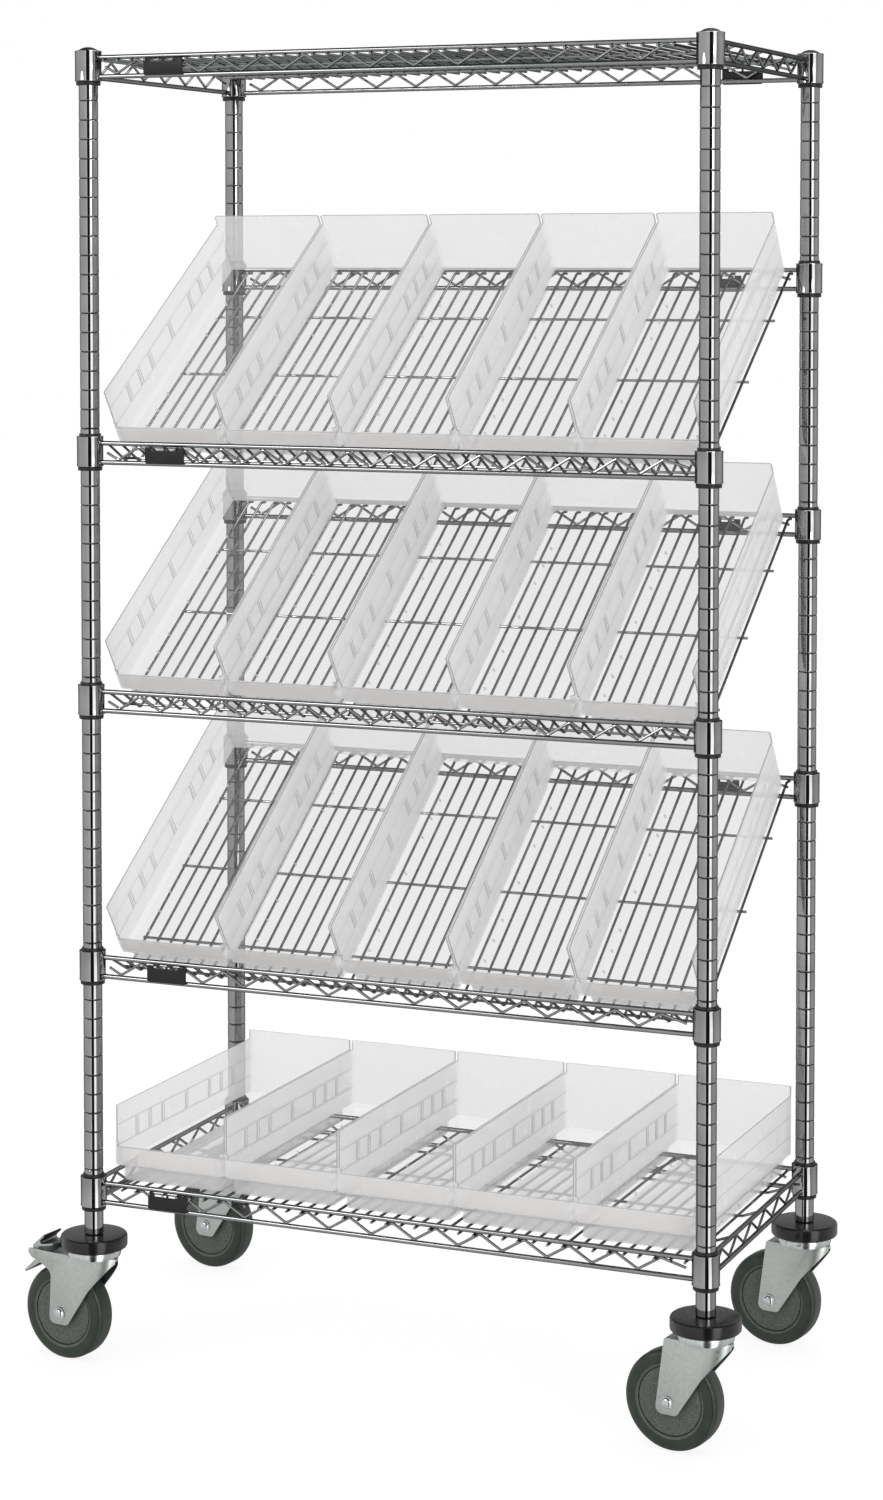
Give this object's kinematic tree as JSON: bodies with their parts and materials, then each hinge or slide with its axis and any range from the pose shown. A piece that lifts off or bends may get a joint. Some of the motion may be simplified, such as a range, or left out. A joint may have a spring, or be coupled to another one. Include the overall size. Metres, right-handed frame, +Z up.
{
  "type": "mobile bin cart",
  "caption": "Wheeled chrome wire-shelving cart with flat and slanted shelves that hold open clear plastic bins, on swivel casters with bumpers.",
  "frame": {"origin": "middle of the footprint's bounding box, on the floor under the wheels", "axes": "+Z up, +X to the right seen from the bins' low open front, +Y from that front to the back"},
  "size_m": [1.0128, 0.5114, 1.756],
  "materials": {
    "chrome": "bright chrome-plated steel tube and wire",
    "dark_plastic": "moulded black plastic",
    "bumper_rubber": "dark grey moulded bumper ring",
    "zinc_steel": "bright zinc-plated pressed steel",
    "tread_rubber": "grey hub with dark olive tread",
    "clear_plastic": "translucent clear moulded plastic, 2 mm"
  },
  "bodies": {
    "cart_frame": {"post_front_left": "chrome", "post_front_right": "chrome", "post_rear_left": "chrome", "post_rear_right": "chrome", "cap_front_left": "dark_plastic", "cap_front_right": "dark_plastic", "cap_rear_left": "dark_plastic", "cap_rear_right": "dark_plastic", "shelf_top": "chrome", "shelf_slanted_1": "chrome", "shelf_slanted_2": "chrome", "shelf_slanted_3": "chrome", "shelf_bottom": "chrome", "label_plate_top": "dark_plastic", "label_plate_slanted_1": "dark_plastic", "label_plate_slanted_3": "dark_plastic", "label_plate_bottom": "dark_plastic", "stem_front_left": "zinc_steel", "stem_front_right": "zinc_steel", "stem_rear_left": "zinc_steel", "stem_rear_right": "zinc_steel", "bumper_front_left": "bumper_rubber", "bumper_front_right": "bumper_rubber", "bumper_rear_left": "bumper_rubber", "bumper_rear_right": "bumper_rubber"},
    "caster_front_left": {"fork_front_left": "zinc_steel", "axle_front_left": "zinc_steel"},
    "wheel_front_left": {"wheel_front_left": "tread_rubber"},
    "caster_front_right": {"fork_front_right": "zinc_steel", "axle_front_right": "zinc_steel"},
    "wheel_front_right": {"wheel_front_right": "tread_rubber"},
    "caster_rear_left": {"fork_rear_left": "zinc_steel", "axle_rear_left": "zinc_steel"},
    "wheel_rear_left": {"wheel_rear_left": "tread_rubber"},
    "caster_rear_right": {"fork_rear_right": "zinc_steel", "axle_rear_right": "zinc_steel"},
    "wheel_rear_right": {"wheel_rear_right": "tread_rubber"},
    "brake_pedal": {"brake_pedal": "zinc_steel"},
    "bin_1_1": {"bin_1_1": "clear_plastic"},
    "bin_1_2": {"bin_1_2": "clear_plastic"},
    "bin_1_3": {"bin_1_3": "clear_plastic"},
    "bin_1_4": {"bin_1_4": "clear_plastic"},
    "bin_1_5": {"bin_1_5": "clear_plastic"},
    "bin_2_1": {"bin_2_1": "clear_plastic"},
    "bin_2_2": {"bin_2_2": "clear_plastic"},
    "bin_2_3": {"bin_2_3": "clear_plastic"},
    "bin_2_4": {"bin_2_4": "clear_plastic"},
    "bin_2_5": {"bin_2_5": "clear_plastic"},
    "bin_3_1": {"bin_3_1": "clear_plastic"},
    "bin_3_2": {"bin_3_2": "clear_plastic"},
    "bin_3_3": {"bin_3_3": "clear_plastic"},
    "bin_3_4": {"bin_3_4": "clear_plastic"},
    "bin_3_5": {"bin_3_5": "clear_plastic"},
    "bin_4_1": {"bin_4_1": "clear_plastic"},
    "bin_4_2": {"bin_4_2": "clear_plastic"},
    "bin_4_3": {"bin_4_3": "clear_plastic"},
    "bin_4_4": {"bin_4_4": "clear_plastic"},
    "bin_4_5": {"bin_4_5": "clear_plastic"}
  },
  "joints": [
    {"name": "swivel_front_left", "type": "hinge", "parent": "cart_frame", "child": "caster_front_left", "pos_m": [-0.40072, -0.2125, 0.145], "axis": [0, 0, 1], "continuous": true},
    {"name": "spin_front_left", "type": "hinge", "parent": "caster_front_left", "child": "wheel_front_left", "pos_m": [-0.44231, -0.20666, 0.0635], "axis": [-0.1392, -0.9903, 0], "continuous": true},
    {"name": "swivel_front_right", "type": "hinge", "parent": "cart_frame", "child": "caster_front_right", "pos_m": [0.45928, -0.2125, 0.145], "axis": [0, 0, 1], "continuous": true},
    {"name": "spin_front_right", "type": "hinge", "parent": "caster_front_right", "child": "wheel_front_right", "pos_m": [0.41769, -0.20666, 0.0635], "axis": [-0.1392, -0.9903, 0], "continuous": true},
    {"name": "swivel_rear_left", "type": "hinge", "parent": "cart_frame", "child": "caster_rear_left", "pos_m": [-0.40072, 0.2125, 0.145], "axis": [0, 0, 1], "continuous": true},
    {"name": "spin_rear_left", "type": "hinge", "parent": "caster_rear_left", "child": "wheel_rear_left", "pos_m": [-0.44231, 0.21835, 0.0635], "axis": [-0.1392, -0.9903, 0], "continuous": true},
    {"name": "swivel_rear_right", "type": "hinge", "parent": "cart_frame", "child": "caster_rear_right", "pos_m": [0.45928, 0.2125, 0.145], "axis": [0, 0, 1], "continuous": true},
    {"name": "spin_rear_right", "type": "hinge", "parent": "caster_rear_right", "child": "wheel_rear_right", "pos_m": [0.41769, 0.21835, 0.0635], "axis": [-0.1392, -0.9903, 0], "continuous": true},
    {"name": "brake_press", "type": "hinge", "parent": "caster_front_left", "child": "brake_pedal", "pos_m": [-0.48093, -0.20123, 0.1395], "axis": [-0.1392, -0.9903, 0], "range_deg": [0, 8]},
    {"name": "lift_bin_1_1", "type": "slide", "parent": "cart_frame", "child": "bin_1_1", "axis": [0, -0.5638, 0.8259], "range_m": [0, 0.1]},
    {"name": "lift_bin_1_2", "type": "slide", "parent": "cart_frame", "child": "bin_1_2", "axis": [0, -0.5638, 0.8259], "range_m": [0, 0.1]},
    {"name": "lift_bin_1_3", "type": "slide", "parent": "cart_frame", "child": "bin_1_3", "axis": [0, -0.5638, 0.8259], "range_m": [0, 0.1]},
    {"name": "lift_bin_1_4", "type": "slide", "parent": "cart_frame", "child": "bin_1_4", "axis": [0, -0.5638, 0.8259], "range_m": [0, 0.1]},
    {"name": "lift_bin_1_5", "type": "slide", "parent": "cart_frame", "child": "bin_1_5", "axis": [0, -0.5638, 0.8259], "range_m": [0, 0.1]},
    {"name": "lift_bin_2_1", "type": "slide", "parent": "cart_frame", "child": "bin_2_1", "axis": [0, -0.5638, 0.8259], "range_m": [0, 0.1]},
    {"name": "lift_bin_2_2", "type": "slide", "parent": "cart_frame", "child": "bin_2_2", "axis": [0, -0.5638, 0.8259], "range_m": [0, 0.1]},
    {"name": "lift_bin_2_3", "type": "slide", "parent": "cart_frame", "child": "bin_2_3", "axis": [0, -0.5638, 0.8259], "range_m": [0, 0.1]},
    {"name": "lift_bin_2_4", "type": "slide", "parent": "cart_frame", "child": "bin_2_4", "axis": [0, -0.5638, 0.8259], "range_m": [0, 0.1]},
    {"name": "lift_bin_2_5", "type": "slide", "parent": "cart_frame", "child": "bin_2_5", "axis": [0, -0.5638, 0.8259], "range_m": [0, 0.1]},
    {"name": "lift_bin_3_1", "type": "slide", "parent": "cart_frame", "child": "bin_3_1", "axis": [0, -0.5638, 0.8259], "range_m": [0, 0.1]},
    {"name": "lift_bin_3_2", "type": "slide", "parent": "cart_frame", "child": "bin_3_2", "axis": [0, -0.5638, 0.8259], "range_m": [0, 0.1]},
    {"name": "lift_bin_3_3", "type": "slide", "parent": "cart_frame", "child": "bin_3_3", "axis": [0, -0.5638, 0.8259], "range_m": [0, 0.1]},
    {"name": "lift_bin_3_4", "type": "slide", "parent": "cart_frame", "child": "bin_3_4", "axis": [0, -0.5638, 0.8259], "range_m": [0, 0.1]},
    {"name": "lift_bin_3_5", "type": "slide", "parent": "cart_frame", "child": "bin_3_5", "axis": [0, -0.5638, 0.8259], "range_m": [0, 0.1]},
    {"name": "lift_bin_4_1", "type": "slide", "parent": "cart_frame", "child": "bin_4_1", "axis": [0, 0, 1], "range_m": [0, 0.1]},
    {"name": "lift_bin_4_2", "type": "slide", "parent": "cart_frame", "child": "bin_4_2", "axis": [0, 0, 1], "range_m": [0, 0.1]},
    {"name": "lift_bin_4_3", "type": "slide", "parent": "cart_frame", "child": "bin_4_3", "axis": [0, 0, 1], "range_m": [0, 0.1]},
    {"name": "lift_bin_4_4", "type": "slide", "parent": "cart_frame", "child": "bin_4_4", "axis": [0, 0, 1], "range_m": [0, 0.1]},
    {"name": "lift_bin_4_5", "type": "slide", "parent": "cart_frame", "child": "bin_4_5", "axis": [0, 0, 1], "range_m": [0, 0.1]}
  ]
}
